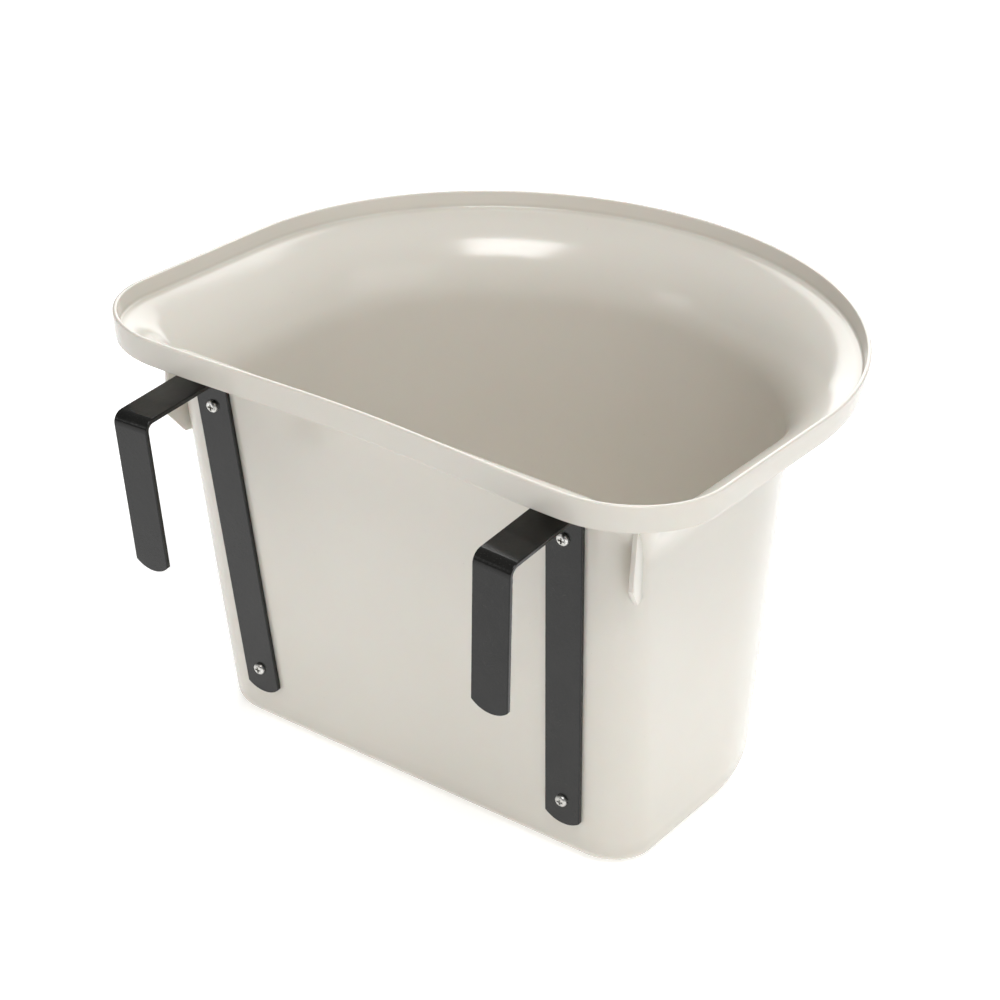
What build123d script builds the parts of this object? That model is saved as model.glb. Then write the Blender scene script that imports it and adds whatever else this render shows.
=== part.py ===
# Hook-over feed bucket: a D-shaped moulded tub with a flat back, hung by two bent steel hooks.
# Millimetres, +Z up, the flat back faces -Y, X = 0 is the mirror plane,
# and the origin is under the middle of the whole thing's bounding box.
from build123d import *
import math
import os

os.makedirs("parts", exist_ok=True)

# Tub, overall
rim_width = 420.0
rim_depth = 390.5
tub_height = 290.0
wall = 3.0
floor_thickness = 3.5

# Rim: an upstanding lip round a flat flange
lip_height = 17.2
lip_thickness = 2.8
lip_draft = 1.8
lip_edge_round = 1.0
flange_drop = 11.0
flange_thickness = 3.0
rim_corner_radius = 64.0
rim_front_reach = 214.5
back_bow = 5.9
mouth_inset = 6.0
bell_height = 51.5
back_bell_height = 10.0
bell_slope = 15.0
bell_bands = 5
back_bell_bands = 3

# Wall under the flange, and the floor it tapers to
flange_side = 42.0
flange_front = 41.5
back_setback = 30.5
back_slope = 10.0
top_corner_radius = 25.0
floor_width = 318.8
floor_front_gap = 49.0
floor_corner_radius = 31.0
floor_front_reach = 158.8
floor_edge_round = 9.0
mouth_front_reach = 173.5

# Gusset fins at the two back corners, under the flange
fin_thickness = 3.0
fin_length = 21.5
fin_low = 205.0
fin_chamfer_height = 14.5
fin_flat = 0.6
fin_angle = 15.3
fin_root_x = 163.6
fin_root_y = 62.5

# Hooks: one strip of flat bar each, bent twice
strap_width = 25.0
strap_thickness = 3.0
hook_spacing = 254.0
hook_lean = 2.8
hook_reach = 71.5
arm_above_hole = 24.2
arm_rise = 4.7
leg_splay = 2.4
leg_below_hole = 75.3
strap_below_hole = 19.0
hole_pitch = 200.0
hole_height = 241.2
bend_inside = 4.0
end_radius = 17.0
strap_edge_round = 0.7

# M4 fasteners
thread = 4.0
hole_clearance = 0.25
head_diameter = 8.0
head_height = 2.6
recess_width = 1.2
recess_length = 4.4
recess_depth = 1.3
screw_length = 12.0
washer_diameter = 12.0
washer_hole = 4.3
washer_thickness = 1.0
nut_across_flats = 7.0
nut_height = 3.2
nut_hole = 4.1

# Worked out from the sizes above
flange_top = tub_height - flange_drop
flange_under = flange_top - flange_thickness
slope = math.tan(math.radians(back_slope))
hole_radius = thread / 2 + hole_clearance
arm_end_height = arm_above_hole + hook_reach * math.tan(math.radians(arm_rise))
leg_foot_out = hook_reach + (arm_end_height + leg_below_hole) * math.tan(math.radians(leg_splay))


def back_plane_y(z):
    """Distance of the outside of the flat wall in front of the rim's back edge, at height z."""
    return back_setback + slope * (tub_height - z)


def wall_plane(x, z):
    """A frame on the outside of the flat wall: X across it, Y up it, Z out of it towards the rail."""
    tilt = math.radians(back_slope)
    lean = math.radians(hook_lean if x > 0 else -hook_lean)
    return Plane(
        origin=(x, back_plane_y(z), z),
        x_dir=(math.cos(lean), math.sin(lean) * math.sin(tilt), -math.sin(lean) * math.cos(tilt)),
        z_dir=(0, -math.cos(tilt), -math.sin(tilt)),
    )


def d_outline(half, back, corner, centre, reach, bow=0.0):
    """Flat back, two corners, two short straight sides and a half-ellipse front."""
    left = -half + corner
    right = half - corner
    if bow:
        Spline((left, back), (0, back + bow), (right, back), tangents=((1, 0), (1, 0)))
    else:
        Line((left, back), (right, back))
    CenterArc((right, back + corner), corner, -90, 90)
    Line((half, back + corner), (half, centre))
    EllipticalCenterArc((0, centre), half, reach, start_angle=0, arc_size=180)
    Line((-half, centre), (-half, back + corner))
    CenterArc((left, back + corner), corner, 180, 90)


def rim_outline(inset):
    centre = rim_depth - rim_front_reach
    d_outline(
        rim_width / 2 - inset,
        inset,
        rim_corner_radius - inset,
        centre,
        rim_front_reach - inset,
        back_bow,
    )


def bell_share(z, height, top):
    """How far out the bell stands at height z: 0 at the wall, 1 at the mouth's edge."""
    drop = min(max((top - z) / height, 0.0), 1.0)
    flattest = math.radians(bell_slope)
    turn = math.acos(math.cos(flattest) * (1 - drop))
    return (1 - math.sin(turn)) / (1 - math.sin(flattest))


def wall_outline(z, inset, top):
    """The wall's outline at height z, drawn inset from its outside; it opens like a bell up to top."""
    share = z / flange_under
    mouth_half = rim_width / 2 - flange_side
    half = floor_width / 2 + (mouth_half - floor_width / 2) * share - inset
    corner = floor_corner_radius + (top_corner_radius - floor_corner_radius) * share - inset
    mouth_front = rim_depth - flange_front
    front = rim_depth - floor_front_gap + (mouth_front - rim_depth + floor_front_gap) * share
    reach = floor_front_reach + (mouth_front_reach - floor_front_reach) * share
    centre = front - reach
    reach -= inset
    back = back_plane_y(z) + inset / math.cos(math.radians(back_slope))
    # the mouth's edge follows the rim
    edge = mouth_inset - wall + inset
    bell = bell_share(z, bell_height, top)
    back_bell = bell_share(z, back_bell_height, top)
    d_outline(
        half + (rim_width / 2 - edge - half) * bell,
        back + (edge - back) * back_bell,
        corner + (rim_corner_radius - edge - corner) * bell,
        centre + (rim_depth - rim_front_reach - centre) * bell,
        reach + (rim_front_reach - edge - reach) * bell,
        back_bow * back_bell,
    )


def bell_drops(height, bands):
    """Depths under the mouth's edge that cut a bell of this height into bands of equal turn."""
    flattest = math.radians(bell_slope)
    turns = [flattest + (math.pi / 2 - flattest) * band / bands for band in range(bands + 1)]
    return [height * (1 - math.cos(turn) / math.cos(flattest)) for turn in turns]


def wall_levels(low, top):
    """Heights of the sections: the bottom, then up the side bell as far as the back one, then up that."""
    side_drops = [drop for drop in bell_drops(bell_height, bell_bands) if drop > back_bell_height + 2]
    drops = bell_drops(back_bell_height, back_bell_bands) + side_drops
    return [low] + [top - drop for drop in reversed(drops)]


# The lip's inside, taken away from the rim
with BuildPart() as lip_inside:
    with BuildSketch(Plane.XY.offset(flange_top)):
        with BuildLine():
            rim_outline(lip_thickness + lip_draft * flange_drop / lip_height)
        make_face()
    with BuildSketch(Plane.XY.offset(tub_height + 1)):
        with BuildLine():
            rim_outline(lip_thickness)
        make_face()
    loft(ruled=True)

# The room under the flange, inside the lip's skirt
with BuildPart() as skirt_inside:
    with BuildSketch(Plane.XY.offset(tub_height - lip_height - 1)):
        with BuildLine():
            rim_outline(lip_thickness + lip_draft)
        make_face()
    extrude(amount=lip_height + 1 - flange_drop - flange_thickness)

# The tub's inside, down to the floor
with BuildPart() as hollow:
    for z in wall_levels(floor_thickness, flange_top):
        with BuildSketch(Plane.XY.offset(z)):
            with BuildLine():
                wall_outline(z, wall, flange_top)
            make_face()
    loft(ruled=True)
    fillet(hollow.faces().sort_by(Axis.Z)[0].edges(), floor_edge_round - wall)
    with BuildSketch(Plane.XY.offset(flange_top)):
        with BuildLine():
            wall_outline(flange_top, wall, flange_top)
        make_face()
    extrude(amount=1)

# The rim by itself: lip, flange and skirt
with BuildPart() as rim:
    with BuildSketch(Plane.XY.offset(tub_height - lip_height)):
        with BuildLine():
            rim_outline(lip_draft)
        make_face()
    with BuildSketch(Plane.XY.offset(tub_height)):
        with BuildLine():
            rim_outline(0)
        make_face()
    loft(ruled=True)
    add(skirt_inside.part, mode=Mode.SUBTRACT)
    add(lip_inside.part, mode=Mode.SUBTRACT)
    lip_edges = [e for e in rim.edges() if e.center().Z > tub_height - 0.1]
    fillet(lip_edges, lip_edge_round)


# The tub, in one moulding: wall and floor, rim, fins, then its inside and its four screw holes
with BuildPart() as bucket:
    for z in wall_levels(0, flange_under):
        with BuildSketch(Plane.XY.offset(z)):
            with BuildLine():
                wall_outline(z, 0, flange_under)
            make_face()
    loft(ruled=True)
    fillet(bucket.faces().sort_by(Axis.Z)[0].edges(), floor_edge_round)
    add(rim.part)
    for side in (-1, 1):
        turn = math.radians(fin_angle)
        fin_plane = Plane(
            origin=(side * fin_root_x, fin_root_y, 0),
            x_dir=(side * math.sin(turn), -math.cos(turn), 0),
            z_dir=(-math.cos(turn), -side * math.sin(turn), 0),
        )
        with BuildSketch(fin_plane):
            with BuildLine():
                Polyline(
                    (-8, fin_low),
                    (fin_length * (1 - fin_flat), fin_low),
                    (fin_length, fin_low + fin_chamfer_height),
                    (fin_length, flange_top - 1),
                    (-8, flange_top - 1),
                    close=True,
                )
            make_face()
        extrude(amount=fin_thickness / 2, both=True)
    add(hollow.part, mode=Mode.SUBTRACT)
    for side in (-1, 1):
        for drop in (0, hole_pitch):
            frame = wall_plane(side * hook_spacing / 2, hole_height)
            with BuildSketch(frame.offset(-3 * wall)):
                with Locations((0, -drop)):
                    Circle(hole_radius)
            extrude(amount=4 * wall, mode=Mode.SUBTRACT)


def hook(side):
    """One bent strap: plate on the wall, arm out under the rim, leg down behind the rail."""
    frame = wall_plane(side * hook_spacing / 2, hole_height)
    edge_on = Plane(origin=frame.origin, x_dir=frame.y_dir, z_dir=frame.x_dir)
    strap_foot = -hole_pitch - strap_below_hole
    with BuildPart() as strap:
        with BuildSketch(edge_on):
            with BuildLine():
                FilletPolyline(
                    (strap_foot, 0),
                    (arm_above_hole, 0),
                    (arm_end_height, hook_reach),
                    (-leg_below_hole, leg_foot_out),
                    radius=bend_inside + strap_thickness,
                )
                offset(amount=strap_thickness, side=Side.LEFT, closed=True)
            make_face()
        extrude(amount=strap_width / 2, both=True)
        # both ends are cropped to a shallow arc
        for foot, out in ((strap_foot, 0), (-leg_below_hole, leg_foot_out - strap_thickness)):
            with BuildSketch(frame.offset(out - strap_thickness)):
                with Locations((0, foot)):
                    Rectangle(2 * strap_width, 2 * end_radius)
                with Locations((0, foot + end_radius)):
                    Circle(end_radius, mode=Mode.SUBTRACT)
                with Locations((0, foot + end_radius)):
                    Rectangle(2 * strap_width, end_radius, mode=Mode.SUBTRACT)
            extrude(amount=3 * strap_thickness, mode=Mode.SUBTRACT)
        for drop in (0, hole_pitch):
            with BuildSketch(frame.offset(-1)):
                with Locations((0, -drop)):
                    Circle(hole_radius)
            extrude(amount=strap_thickness + 2, mode=Mode.SUBTRACT)
        long_edges = [
            e
            for e in strap.edges()
            if abs(frame.to_local_coords(e.center()).X) > strap_width / 2 - 0.01
            and e.length > strap_thickness + 0.5
        ]
        fillet(long_edges, strap_edge_round)
    return strap


def screw(side, drop):
    """Pan head with a cross recess, standing on the strap, and its shank through the wall."""
    frame = wall_plane(side * hook_spacing / 2, hole_height)
    with BuildPart() as piece:
        with BuildSketch(frame.offset(strap_thickness)):
            with Locations((0, -drop)):
                Circle(head_diameter / 2)
        extrude(amount=head_height)
        crown = [e for e in piece.edges() if frame.to_local_coords(e.center()).Z > strap_thickness + 1]
        crown = [e for e in crown if e.geom_type == GeomType.CIRCLE]
        fillet(crown, head_height * 0.7)
        with BuildSketch(frame.offset(strap_thickness + head_height + 1)):
            with Locations((0, -drop)):
                Rectangle(recess_width, recess_length)
                Rectangle(recess_length, recess_width)
        extrude(amount=-recess_depth - 1, mode=Mode.SUBTRACT)
        with BuildSketch(frame.offset(strap_thickness - screw_length)):
            with Locations((0, -drop)):
                Circle(thread / 2)
        extrude(amount=screw_length + 0.5)
    return piece


def washer(side, drop):
    frame = wall_plane(side * hook_spacing / 2, hole_height)
    with BuildPart() as piece:
        with BuildSketch(frame.offset(-wall)):
            with Locations((0, -drop)):
                Circle(washer_diameter / 2)
                Circle(washer_hole / 2, mode=Mode.SUBTRACT)
        extrude(amount=-washer_thickness)
    return piece


def nut(side, drop):
    frame = wall_plane(side * hook_spacing / 2, hole_height)
    with BuildPart() as piece:
        with BuildSketch(frame.offset(-wall - washer_thickness)):
            with Locations((0, -drop)):
                RegularPolygon(nut_across_flats / 2, 6, major_radius=False)
                Circle(nut_hole / 2, mode=Mode.SUBTRACT)
        extrude(amount=-nut_height)
    return piece


# Everything, named: left is -X, upper and lower are along each strap
pieces = {"bucket": bucket}
for side, word in ((-1, "left"), (1, "right")):
    pieces[word + "_hook"] = hook(side)
    for drop, level in ((0, "upper"), (hole_pitch, "lower")):
        pieces[word + "_" + level + "_screw"] = screw(side, drop)
        pieces[word + "_" + level + "_washer"] = washer(side, drop)
        pieces[word + "_" + level + "_nut"] = nut(side, drop)

# Put the origin under the middle: the tub's front and the hooks' legs end at equal distances
legs_out = pieces["left_hook"].part.bounding_box().min.Y
tub_front = bucket.part.bounding_box().max.Y
middle = Location((0, -(legs_out + tub_front) / 2, 0))
for name, piece in pieces.items():
    placed = piece.part.moved(middle)
    placed.label = name
    export_step(placed, "parts/" + name + ".step")
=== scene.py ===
import math

import bmesh
import bpy
from mathutils import Matrix, Vector
from mathutils.bvhtree import BVHTree


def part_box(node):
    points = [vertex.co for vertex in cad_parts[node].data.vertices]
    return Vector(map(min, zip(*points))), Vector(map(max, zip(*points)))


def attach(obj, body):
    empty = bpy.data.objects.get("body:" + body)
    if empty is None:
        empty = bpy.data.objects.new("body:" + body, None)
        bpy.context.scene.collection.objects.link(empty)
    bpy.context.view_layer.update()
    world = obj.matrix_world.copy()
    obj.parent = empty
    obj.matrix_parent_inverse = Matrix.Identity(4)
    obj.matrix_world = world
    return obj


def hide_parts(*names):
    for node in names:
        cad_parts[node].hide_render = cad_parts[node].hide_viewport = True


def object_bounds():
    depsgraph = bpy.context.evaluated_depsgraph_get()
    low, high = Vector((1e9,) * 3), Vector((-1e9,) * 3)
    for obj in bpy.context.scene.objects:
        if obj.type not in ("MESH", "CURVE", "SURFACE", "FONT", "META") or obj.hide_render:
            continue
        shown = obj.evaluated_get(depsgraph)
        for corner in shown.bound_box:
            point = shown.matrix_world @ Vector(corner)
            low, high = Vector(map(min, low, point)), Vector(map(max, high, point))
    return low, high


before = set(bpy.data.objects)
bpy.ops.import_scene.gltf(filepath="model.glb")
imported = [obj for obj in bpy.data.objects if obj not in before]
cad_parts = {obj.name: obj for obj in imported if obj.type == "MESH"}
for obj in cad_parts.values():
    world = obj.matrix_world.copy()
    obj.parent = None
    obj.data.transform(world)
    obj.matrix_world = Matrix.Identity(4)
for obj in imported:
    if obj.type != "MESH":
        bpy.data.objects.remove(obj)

cadLow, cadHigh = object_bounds()
mm = 0.001
print("frame loaded, box", [round(v, 3) for v in cadHigh - cadLow])

# Camera first, it settles what matters
cameraSetup = {
    "place": (0.80443, -1.21991, 0.93384),
    "azimuth": 32.736,  # degrees round from -Y towards +X
    "elevation": 27.884,
    "roll": 3.799,
    "lens": 94.41,
    "shift": (-0.04115, 0.0065),
}


def setCamera(setup):
    azimuth, elevation, roll = (math.radians(setup[k]) for k in ("azimuth", "elevation", "roll"))
    back = Vector((
        math.sin(azimuth) * math.cos(elevation),
        -math.cos(azimuth) * math.cos(elevation),
        math.sin(elevation),
    ))
    level = Vector((math.cos(azimuth), math.sin(azimuth), 0))
    upright = back.cross(level)
    right = level * math.cos(roll) + upright * math.sin(roll)
    up = upright * math.cos(roll) - level * math.sin(roll)
    data = bpy.data.cameras.new("stillCamera")
    data.lens = setup["lens"]
    data.sensor_width = 36
    data.shift_x, data.shift_y = setup["shift"]
    camera = bpy.data.objects.new("stillCamera", data)
    turn = Matrix((right, up, back)).transposed().to_4x4()
    camera.matrix_world = Matrix.Translation(setup["place"]) @ turn
    bpy.context.scene.collection.objects.link(camera)
    bpy.context.scene.camera = camera


setCamera(cameraSetup)


def startMaterial(name):
    material = bpy.data.materials.new(name)
    material.use_nodes = True
    tree = material.node_tree
    return material, tree, tree.nodes["Principled BSDF"]


def addNode(tree, kind, **settings):
    node = tree.nodes.new(kind)
    for key, value in settings.items():
        if key in node.inputs:
            node.inputs[key].default_value = value
        else:
            setattr(node, key, value)
    return node


def objectCoords(tree, stretch=(1, 1, 1)):
    coords = tree.nodes.new("ShaderNodeTexCoord")
    mapping = addNode(tree, "ShaderNodeMapping", Scale=stretch)
    tree.links.new(coords.outputs["Object"], mapping.inputs["Vector"])
    return mapping.outputs["Vector"]


def noiseField(tree, coords, scale, detail=3.0, rough=0.5):
    field = addNode(tree, "ShaderNodeTexNoise", Scale=scale, Detail=detail, Roughness=rough)
    tree.links.new(coords, field.inputs["Vector"])
    return field.outputs["Fac"]


def remap(tree, value, fromLow, fromHigh, toLow, toHigh):
    node = tree.nodes.new("ShaderNodeMapRange")
    tree.links.new(value, node.inputs["Value"])
    ends = {"From Min": fromLow, "From Max": fromHigh, "To Min": toLow, "To Max": toHigh}
    for key, number in ends.items():
        node.inputs[key].default_value = number
    return node.outputs["Result"]


def mixColour(tree, share, first, second):
    node = addNode(tree, "ShaderNodeMix", data_type="RGBA")
    slots = [s for s in node.inputs if s.type == "RGBA"]
    for slot, colour in zip(slots, (first, second)):
        if isinstance(colour, tuple):
            slot.default_value = (*colour, 1)
        else:
            tree.links.new(colour, slot)
    tree.links.new(share, node.inputs["Factor"])
    return [s for s in node.outputs if s.type == "RGBA"][0]


def combine(tree, operation, first, second):
    node = addNode(tree, "ShaderNodeMath", operation=operation)
    for slot, value in zip(node.inputs, (first, second)):
        if isinstance(value, (int, float)):
            slot.default_value = value
        else:
            tree.links.new(value, slot)
    return node.outputs[0]


def bumpInto(tree, shader, height, strength, distance, before=None):
    bump = addNode(tree, "ShaderNodeBump", Strength=strength, Distance=distance)
    tree.links.new(height, bump.inputs["Height"])
    if before:
        tree.links.new(before, bump.inputs["Normal"])
    tree.links.new(bump.outputs["Normal"], shader.inputs["Normal"])
    return bump.outputs["Normal"]


tubFinish = {
    "pale": (0.708, 0.681, 0.615),
    "warm": (0.698, 0.668, 0.600),
    # colour of the painted shade in the creases, hollows and under the flange, also standing for grime
    "shadeAndGrime": (0.36, 0.32, 0.25),
    "gloss": (0.15, 0.20),  # roughness, polished to scuffed
    "ior": 1.49,
    "subsurface": 0.15,
    "subsurfaceDepth": 0.004,
}


def tubPlastic(finish):
    material, tree, shader = startMaterial("tub_plastic")
    coords = objectCoords(tree)
    drawn = objectCoords(tree, (1, 1, 0.06))
    mottle = noiseField(tree, coords, 7.0, 4.0, 0.55)
    scuffs = noiseField(tree, drawn, 260.0, 3.0, 0.6)
    peel = noiseField(tree, coords, 620.0, 2.0, 0.5)
    waves = noiseField(tree, coords, 22.0, 2.0, 0.5)
    colour = mixColour(tree, remap(tree, mottle, 0.35, 0.65, 0, 1), finish["pale"], finish["warm"])
    specks = noiseField(tree, coords, 900.0, 1.0, 0.5)
    dots = remap(tree, specks, 0.80, 0.84, 0.0, 0.55)
    # a per-ring attribute darkens the crease, the flange's underside, the foot and the floor cove:
    # painted shade, with some grime; random dust specks add to it
    shadeAndGrime = tree.nodes.new("ShaderNodeAttribute")
    shadeAndGrime.attribute_name = "shadeAndGrime"
    patchy = combine(tree, "MULTIPLY", shadeAndGrime.outputs["Fac"], remap(tree, mottle, 0.3, 0.7, 0.5, 1.2))
    shadeAndDirt = combine(tree, "MAXIMUM", patchy, dots)
    colour = mixColour(tree, shadeAndDirt, colour, finish["shadeAndGrime"])
    tree.links.new(colour, shader.inputs["Base Color"])
    low, high = finish["gloss"]
    polish = remap(tree, mottle, 0.3, 0.7, low, high)
    scratched = remap(tree, scuffs, 0.6, 0.8, 0.0, 0.05)
    worn = combine(tree, "ADD", polish, scratched)
    tree.links.new(worn, shader.inputs["Roughness"])
    shader.inputs["IOR"].default_value = finish["ior"]
    shader.inputs["Subsurface Weight"].default_value = finish["subsurface"]
    shader.inputs["Subsurface Scale"].default_value = finish["subsurfaceDepth"]
    first = bumpInto(tree, shader, waves, 0.10, 0.0012)
    second = bumpInto(tree, shader, peel, 0.05, 0.0002, first)
    bumpInto(tree, shader, scuffs, 0.04, 0.0001, second)
    return material


hookFinish = {
    "black": (0.006, 0.006, 0.0055),
    "dusty": (0.017, 0.016, 0.014),
    "dust": (0.06, 0.058, 0.052),  # specks settled in the paint
    "gloss": (0.10, 0.20),
    "ior": 1.37,
    "coat": 0.08,
    "coatRoughness": 0.08,
}


def hookPaint(finish):
    material, tree, shader = startMaterial("hook_paint")
    coords = objectCoords(tree)
    mottle = noiseField(tree, coords, 45.0, 4.0, 0.6)
    peel = noiseField(tree, coords, 480.0, 2.0, 0.5)
    dust = noiseField(tree, coords, 1500.0, 2.0, 0.6)
    settled = remap(tree, dust, 0.62, 0.80, 0.0, 0.7)
    colour = mixColour(tree, remap(tree, mottle, 0.4, 0.75, 0, 0.5), finish["black"], finish["dusty"])
    colour = mixColour(tree, settled, colour, finish["dust"])
    tree.links.new(colour, shader.inputs["Base Color"])
    low, high = finish["gloss"]
    tree.links.new(remap(tree, mottle, 0.3, 0.7, low, high), shader.inputs["Roughness"])
    shader.inputs["IOR"].default_value = finish["ior"]
    shader.inputs["Coat Weight"].default_value = finish["coat"]
    shader.inputs["Coat Roughness"].default_value = finish["coatRoughness"]
    first = bumpInto(tree, shader, mottle, 0.12, 0.0012)
    bumpInto(tree, shader, peel, 0.16, 0.0003, first)
    return material


zincFinish = {
    "bright": (0.74, 0.74, 0.72),
    "dull": (0.48, 0.47, 0.44),
    "gloss": (0.20, 0.42),
}


def zincPlate(finish):
    material, tree, shader = startMaterial("zinc")
    coords = objectCoords(tree)
    grain = noiseField(tree, coords, 900.0, 3.0, 0.6)
    cloud = noiseField(tree, coords, 160.0, 3.0, 0.5)
    colour = mixColour(tree, remap(tree, cloud, 0.35, 0.7, 0, 1), finish["bright"], finish["dull"])
    tree.links.new(colour, shader.inputs["Base Color"])
    shader.inputs["Metallic"].default_value = 1.0
    low, high = finish["gloss"]
    tree.links.new(remap(tree, grain, 0.3, 0.7, low, high), shader.inputs["Roughness"])
    bumpInto(tree, shader, grain, 0.15, 0.0002)
    return material


tubMaterial = tubPlastic(tubFinish)
hookMaterial = hookPaint(hookFinish)
zincMaterial = zincPlate(zincFinish)
print("finishes made")


tubLow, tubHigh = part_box("bucket")
tub = {
    "wall": 3.0 * mm,
    "floor": 3.5 * mm,
    "lipHeight": 17.2 * mm,
    "lipThickness": 2.8 * mm,
    "lipDraft": 1.8 * mm,  # how far the lip leans out over its height
    "lipRound": 1.0 * mm,
    "lipInnerRound": 0.8 * mm,
    "skirtRound": 0.6 * mm,  # the lip's lower edge
    "underRound": 0.7 * mm,
    "underDrop": 1.0 * mm,  # the bell meets the skirt this far below the flange
    "creaseRound": 1.6 * mm,  # where the lip's inside meets the flange
    "flangeDrop": 11.0 * mm,  # flange below the lip's top
    "flangeThickness": 3.0 * mm,
    "rimCorner": 64.0 * mm,
    "rimReach": 214.5 * mm,  # half-ellipse front
    "backBow": 5.9 * mm,  # the flat rim side is pulled in this far
    "mouthInset": 6.0 * mm,  # where the bell starts, in from the rim
    "bellHeight": 51.5 * mm,  # how far down the wall opens out, at the sides and front
    "backBellHeight": 10.0 * mm,
    "bellSlope": math.radians(15.0),  # how steeply it leaves the flange
    "outerSlope": math.radians(20.0),  # and how steeply its underside leaves the skirt
    "boxGap": 0.02 * mm,  # how far the tub stays inside its box
    "mouthHalf": 168.0 * mm,
    "mouthReach": 173.5 * mm,
    "mouthCorner": 25.0 * mm,
    "mouthFrontGap": 41.5 * mm,
    "floorHalf": 159.4 * mm,
    "floorReach": 158.8 * mm,
    "floorCorner": 31.0 * mm,
    "floorFrontGap": 49.0 * mm,
    "backSetback": 30.5 * mm,
    "backSlope": math.radians(10.0),
    "footRound": 9.0 * mm,
    "footRecess": 0.8 * mm,
}
tubCounts = {"back": 48, "corner": 20, "side": 12, "front": 110, "bell": 26}
rimHalf = (tubHigh.x - tubLow.x) / 2 - tub["boxGap"]
rimBack = tubLow.y + tub["boxGap"]
rimDepth = tubHigh.y - tubLow.y - 2 * tub["boxGap"]
tubHeight = tubHigh.z
flangeTop = tubHeight - tub["flangeDrop"]
flangeUnder = flangeTop - tub["flangeThickness"]


# A flat back, two corners, two short straight sides and a half-ellipse front,
# as (point, outward direction, how far round from the back it is, 0 to 1)
def dOutline(half, back, corner, centre, reach, bow=0.0):
    points = []
    count = tubCounts["back"]
    for step in range(count):  # the flat back, pulled in by bow at its middle
        share = step / count
        x = (half - corner) * (2 * share - 1)
        swing = 0.5 + 0.5 * math.cos(math.pi * (2 * share - 1))
        points.append((Vector((x, back + bow * swing)), Vector((0, -1)), 0.0))
    count = tubCounts["corner"]
    for step in range(count):
        turn = math.pi / 2 * (step / count - 1)
        out = Vector((math.cos(turn), math.sin(turn)))
        points.append((Vector((half - corner, back + corner)) + corner * out, out, step / count))
    count = tubCounts["side"]
    for step in range(count):
        y = back + corner + (centre - back - corner) * step / count
        points.append((Vector((half, y)), Vector((1, 0)), 1.0))
    count = tubCounts["front"]
    for step in range(count):
        turn = math.pi * step / count
        out = Vector((math.cos(turn) / half, math.sin(turn) / reach)).normalized()
        points.append((Vector((half * math.cos(turn), centre + reach * math.sin(turn))), out, 1.0))
    count = tubCounts["side"]
    for step in range(count):
        y = centre + (back + corner - centre) * step / count
        points.append((Vector((-half, y)), Vector((-1, 0)), 1.0))
    count = tubCounts["corner"]
    for step in range(count):
        turn = math.pi + math.pi / 2 * step / count
        out = Vector((math.cos(turn), math.sin(turn)))
        points.append((Vector((corner - half, back + corner)) + corner * out, out, 1 - step / count))
    return points


def rimOutline(inset, bow):
    centre = rimBack + rimDepth - tub["rimReach"]
    return dOutline(
        rimHalf - inset,
        rimBack + inset,
        tub["rimCorner"] - inset,
        centre,
        tub["rimReach"] - inset,
        bow,
    )


def wallOutline(z):
    share = z / flangeUnder
    half = tub["floorHalf"] + (tub["mouthHalf"] - tub["floorHalf"]) * share
    corner = tub["floorCorner"] + (tub["mouthCorner"] - tub["floorCorner"]) * share
    reach = tub["floorReach"] + (tub["mouthReach"] - tub["floorReach"]) * share
    gap = tub["floorFrontGap"] + (tub["mouthFrontGap"] - tub["floorFrontGap"]) * share
    back = rimBack + tub["backSetback"] + math.tan(tub["backSlope"]) * (tubHeight - z)
    return dOutline(half, back, corner, rimBack + rimDepth - gap - reach, reach)


def wallRing(z, offset=0.0):
    return [(*(p + out * offset), z) for p, out, front in wallOutline(z)]


def rimRing(z, inset, bow=tub["backBow"]):
    return [(*p, z) for p, out, front in rimOutline(inset, bow)]


def between(first, second, share):
    return [tuple(Vector(a).lerp(Vector(b), share)) for a, b in zip(first, second)]


def bellRing(top, offset, turn):  # turn runs from bellSlope at the mouth to upright at the foot
    drop = 1 - math.cos(turn) / math.cos(tub["bellSlope"])
    out = (1 - math.sin(turn)) / (1 - math.sin(tub["bellSlope"]))
    edge = rimRing(top, tub["mouthInset"] - tub["wall"] - offset)
    ring = []
    for index, (p, normal, front) in enumerate(wallOutline(top)):
        side = front * front * (3 - 2 * front)
        height = tub["backBellHeight"] + (tub["bellHeight"] - tub["backBellHeight"]) * side
        z = top - height * drop
        p, normal, front = wallOutline(z)[index]
        p = p + normal * offset
        ring.append((*p.lerp(Vector(edge[index][:2]), out), z))
    return ring


def bellRings(top, offset, slope):  # from the wall up to where it lies at this slope
    steps = tubCounts["bell"]
    turns = [slope + (math.pi / 2 - slope) * step / steps for step in range(steps + 1)]
    return [bellRing(top, offset, turn) for turn in reversed(turns)]


def towardsMiddle(ring, share, z):
    middle = sum((Vector(p) for p in ring), Vector()) / len(ring)
    return [tuple(Vector((p[0], p[1], z)).lerp(Vector((middle.x, middle.y, z)), share)) for p in ring]


def quarter(steps):
    return [math.pi / 2 * step / steps for step in range(steps + 1)]


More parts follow.
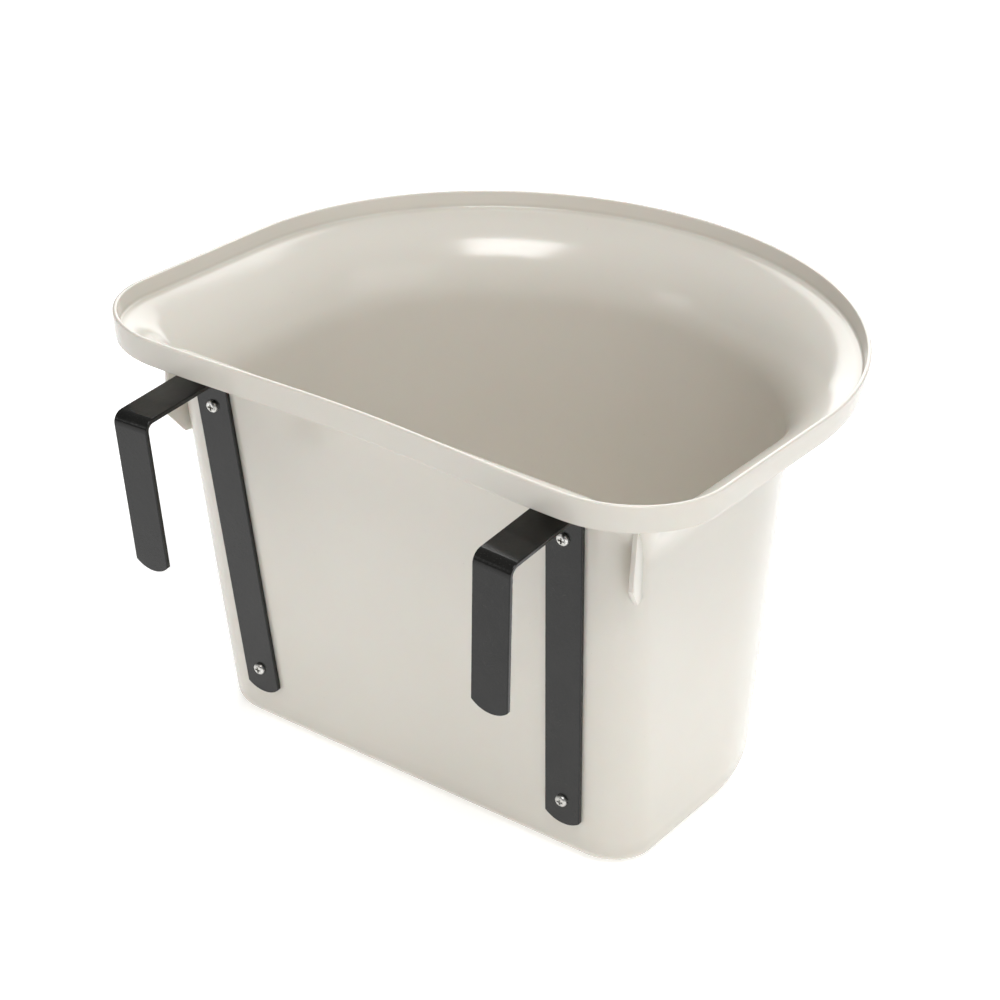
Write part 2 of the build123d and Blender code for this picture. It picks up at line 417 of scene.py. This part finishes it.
def tubRings():  # the whole moulding, ring by ring, with how much painted shade and grime each one gets
    wall, floor = tub["wall"], tub["floor"]
    foot, recess = tub["footRound"], tub["footRecess"]
    rings, shadeAndGrime = [], []

    # each ring carries a share of painted shade and grime, most in the crease, under the flange and
    # round the foot and floor cove
    def put(ring, shadeAndDirt=0.0):
        rings.append(ring)
        shadeAndGrime.append(shadeAndDirt)

    # underside, from its middle out to a standing foot
    standing = wallRing(0.0, -foot)
    for share in (0.97, 0.8, 0.6, 0.4, 0.2, 0.1, 0.06):
        put(towardsMiddle(standing, share, recess), 0.10)
    put(towardsMiddle(standing, 0.045, recess * 0.15), 0.15)
    put(towardsMiddle(standing, 0.035, 0.0), 0.25)
    put(standing, 0.25)
    for turn in quarter(7)[1:]:
        put(wallRing(foot - foot * math.cos(turn), foot * math.sin(turn) - foot), 0.22)
    # outside, up to the flange
    outside = bellRings(flangeUnder, 0.0, tub["outerSlope"])
    low = wallRing(foot)
    for share in (0.04, 0.1, 0.2, 0.32, 0.44, 0.56, 0.68, 0.8, 0.9, 0.97):
        put(between(low, outside[0], share), 0.12 * (1 - share) ** 3)
    for ring in outside:
        put(ring, 0.06)
    # under the flange and round the lip
    skirtInset = tub["lipThickness"] + tub["lipDraft"]
    skirtLow = tubHeight - tub["lipHeight"]
    soft, drop = tub["underRound"], tub["underDrop"]
    for turn in quarter(4):
        z = flangeUnder - drop - soft * (1 - math.cos(turn))
        put(rimRing(z, skirtInset + soft * (1 - math.sin(turn))), 0.3)
    soft = tub["skirtRound"]
    for turn in quarter(3):
        z = skirtLow + soft * (1 - math.sin(turn))
        put(rimRing(z, skirtInset - soft * (1 - math.cos(turn))), 0.1)
    for turn in quarter(3):
        z = skirtLow + soft * (1 - math.cos(turn))
        put(rimRing(z, tub["lipDraft"] + soft * (1 - math.sin(turn))), 0.1)
    soft = tub["lipRound"]
    for share in (0.08, 0.5, 0.92):
        z = skirtLow + (tub["lipHeight"] - soft) * share
        put(rimRing(z, tub["lipDraft"] * (1 - share)), 0.03)
    for turn in quarter(5):
        z = tubHeight - soft * (1 - math.sin(turn))
        put(rimRing(z, soft * (1 - math.cos(turn)) + 0.1 * mm), 0.04)
    soft = tub["lipInnerRound"]
    for turn in quarter(4):
        z = tubHeight - soft * (1 - math.cos(turn))
        put(rimRing(z, tub["lipThickness"] - soft * (1 - math.sin(turn))), 0.04)
    # down the lip's inside, round its crease and down the bell
    creaseDepth = tub["lipDraft"] * tub["flangeDrop"] / tub["lipHeight"]
    creaseInset = tub["lipThickness"] + creaseDepth
    crease = tub["creaseRound"]
    for share in (0.15, 0.8):
        z = tubHeight - (tub["flangeDrop"] - crease) * share
        put(rimRing(z, tub["lipThickness"] + creaseDepth * share), 0.05)
    for turn in quarter(5):
        z = flangeTop + crease * (1 - math.sin(turn))
        put(rimRing(z, creaseInset + crease * (1 - math.cos(turn))), 0.22)
    inside = list(reversed(bellRings(flangeTop, -wall, tub["bellSlope"])))
    for ring in inside[1:]:
        put(ring, 0.0)
    # inside wall and floor
    cove = foot - wall
    low = wallRing(floor + cove, -wall)
    for share in (0.03, 0.1, 0.2, 0.32, 0.44, 0.56, 0.68, 0.8, 0.9, 0.97, 1.0):
        put(between(inside[-1], low, share), 0.10 * share ** 3)
    for turn in quarter(6)[1:]:
        put(wallRing(floor + cove - cove * math.sin(turn), -wall - cove + cove * math.cos(turn)), 0.35)
    last = rings[-1]
    for share in (0.03, 0.1, 0.25, 0.45, 0.65, 0.85, 0.97):
        put(towardsMiddle(last, share, floor), 0.22 - 0.1 * share)
    return rings, shadeAndGrime


def addMesh(name, build, material, stands=()):
    mesh = bpy.data.meshes.new(name)
    shape = bmesh.new()
    build(shape)
    shape.to_mesh(mesh)
    shape.free()
    piece = bpy.data.objects.new(name, mesh)
    bpy.context.scene.collection.objects.link(piece)
    mesh.materials.append(material)
    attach(piece, "root")
    if stands:
        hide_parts(*stands)
    return piece


def skin(shape, rings, layer=None, values=()):
    loops = []
    for index, ring in enumerate(rings):
        loop = [shape.verts.new(p) for p in ring]
        if layer:
            for vert in loop:
                vert[layer] = values[index]
        loops.append(loop)
    for lower, upper in zip(loops, loops[1:]):
        for i in range(len(lower)):
            j = (i + 1) % len(lower)
            shape.faces.new((lower[i], lower[j], upper[j], upper[i]))
    shape.faces.new(list(reversed(loops[0])))
    shape.faces.new(loops[-1])


# the gusset fins at the two back corners
fin = {
    "thickness": 3.0 * mm,
    "length": 21.5 * mm,
    "low": 205.0 * mm,
    "chamfer": 14.5 * mm,
    "flat": 8.6 * mm,
    "angle": math.radians(15.3),
    "rootX": 163.6 * mm,
    "rootY": 62.5 * mm,
    "sunk": 1.5 * mm,  # how far it reaches into the wall
    "topRoot": 1.5 * mm,  # where its top comes down to the wall
    "topSteps": 11,
    "bevel": 0.4 * mm,
}


def addFin(shape, tree, side):
    turn = fin["angle"]
    root = Vector((side * fin["rootX"], rimBack + fin["rootY"], 0))
    along = Vector((side * math.sin(turn), -math.cos(turn), 0))
    across = Vector((math.cos(turn), side * math.sin(turn), 0)) * fin["thickness"] / 2
    outline = [
        (-fin["sunk"], fin["low"]),
        (fin["flat"], fin["low"]),
        (fin["length"], fin["low"] + fin["chamfer"]),
    ]
    steps = fin["topSteps"]
    for step in range(steps + 1):  # its top follows the underside of the bell
        out = fin["length"] + (fin["topRoot"] - fin["length"]) * step / steps
        start = root + along * out + Vector((0, 0, fin["low"]))
        spot, normal, face, gap = tree.ray_cast(start, Vector((0, 0, 1)))
        spot = spot - normal * fin["sunk"]
        outline.append((min((spot - root).dot(along), fin["length"]), spot.z))
    faces = []
    near = [shape.verts.new(root + along * d + across + Vector((0, 0, z))) for d, z in outline]
    far = [shape.verts.new(root + along * d - across + Vector((0, 0, z))) for d, z in outline]
    faces.append(shape.faces.new(near))
    faces.append(shape.faces.new(list(reversed(far))))
    for i in range(len(outline)):
        j = (i + 1) % len(outline)
        faces.append(shape.faces.new((near[j], near[i], far[i], far[j])))
    edges = list({e for f in faces for e in f.edges})
    bmesh.ops.recalc_face_normals(shape, faces=faces)
    bmesh.ops.bevel(shape, geom=edges, offset=fin["bevel"], segments=3, affect="EDGES", profile=0.5)


def buildTub(shape):
    # the per-ring painted shade and grime values go into this vertex layer
    layer = shape.verts.layers.float.new("shadeAndGrime")
    rings, shadeAndDirt = tubRings()
    skin(shape, rings, layer, shadeAndDirt)
    tree = BVHTree.FromBMesh(shape)
    for side in (-1, 1):
        addFin(shape, tree, side)
    for face in shape.faces:
        face.smooth = True


tubPiece = addMesh("tub", buildTub, tubMaterial, ["bucket"])
print("tub built,", len(tubPiece.data.polygons), "faces")

# the straps and their fasteners show the frame's own meshes, in their finishes
for name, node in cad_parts.items():
    if name == "bucket":
        continue
    finish = hookMaterial if name.endswith("hook") else zincMaterial
    node.data.materials.clear()
    node.data.materials.append(finish)
    for face in node.data.polygons:
        face.material_index = 0


stageSetup = {
    "floorSize": 9.0,
    "floorColour": (0.93, 0.93, 0.93),
    "floorRoughness": 0.8,
    "floorGlow": 0.47,  # keeps the far floor white
    "worldColour": (1.0, 1.0, 1.0),
    "worldStrength": 0.25,
}


def addFloor(setup):
    mesh = bpy.data.meshes.new("floor")
    shape = bmesh.new()
    bmesh.ops.create_grid(shape, x_segments=8, y_segments=8, size=setup["floorSize"] / 2)
    shape.to_mesh(mesh)
    shape.free()
    floor = bpy.data.objects.new("floor", mesh)
    bpy.context.scene.collection.objects.link(floor)
    floor.location.z = cadLow.z
    material, tree, shader = startMaterial("paleFloor")
    shader.inputs["Base Color"].default_value = (*setup["floorColour"], 1)
    shader.inputs["Roughness"].default_value = setup["floorRoughness"]
    shader.inputs["Emission Color"].default_value = (1.0, 1.0, 1.0, 1)
    shader.inputs["Emission Strength"].default_value = setup["floorGlow"]
    mesh.materials.append(material)


lights = {
    "keyRight": {"place": (2.0, 0.3, 1.0), "size": 1.4, "power": 5.5},
    "fillLow": {"place": (-1.2, -1.9, 0.9), "size": 0.7, "power": 2.4},
    "topSoft": {"place": (0.7, -0.6, 2.0), "size": 0.9, "power": 27},
    "farWash": {"place": (-1.3, 2.6, 1.7), "size": 2.4, "power": 55},
}


def addLight(name, setup):
    data = bpy.data.lights.new(name, "AREA")
    data.size = setup["size"]
    data.energy = setup["power"]
    light = bpy.data.objects.new(name, data)
    light.location = setup["place"]
    aim = Vector((0, 0, 0.15)) - light.location
    light.rotation_euler = aim.to_track_quat("-Z", "Y").to_euler()
    bpy.context.scene.collection.objects.link(light)


def addWorld(setup):
    world = bpy.data.worlds.new("studio")
    world.use_nodes = True
    glow = world.node_tree.nodes["Background"]
    glow.inputs["Color"].default_value = (*setup["worldColour"], 1)
    glow.inputs["Strength"].default_value = setup["worldStrength"]
    bpy.context.scene.world = world


addFloor(stageSetup)
addWorld(stageSetup)
for name, setup in lights.items():
    addLight(name, setup)
bpy.context.scene.view_settings.view_transform = "Standard"
print("stage lit")
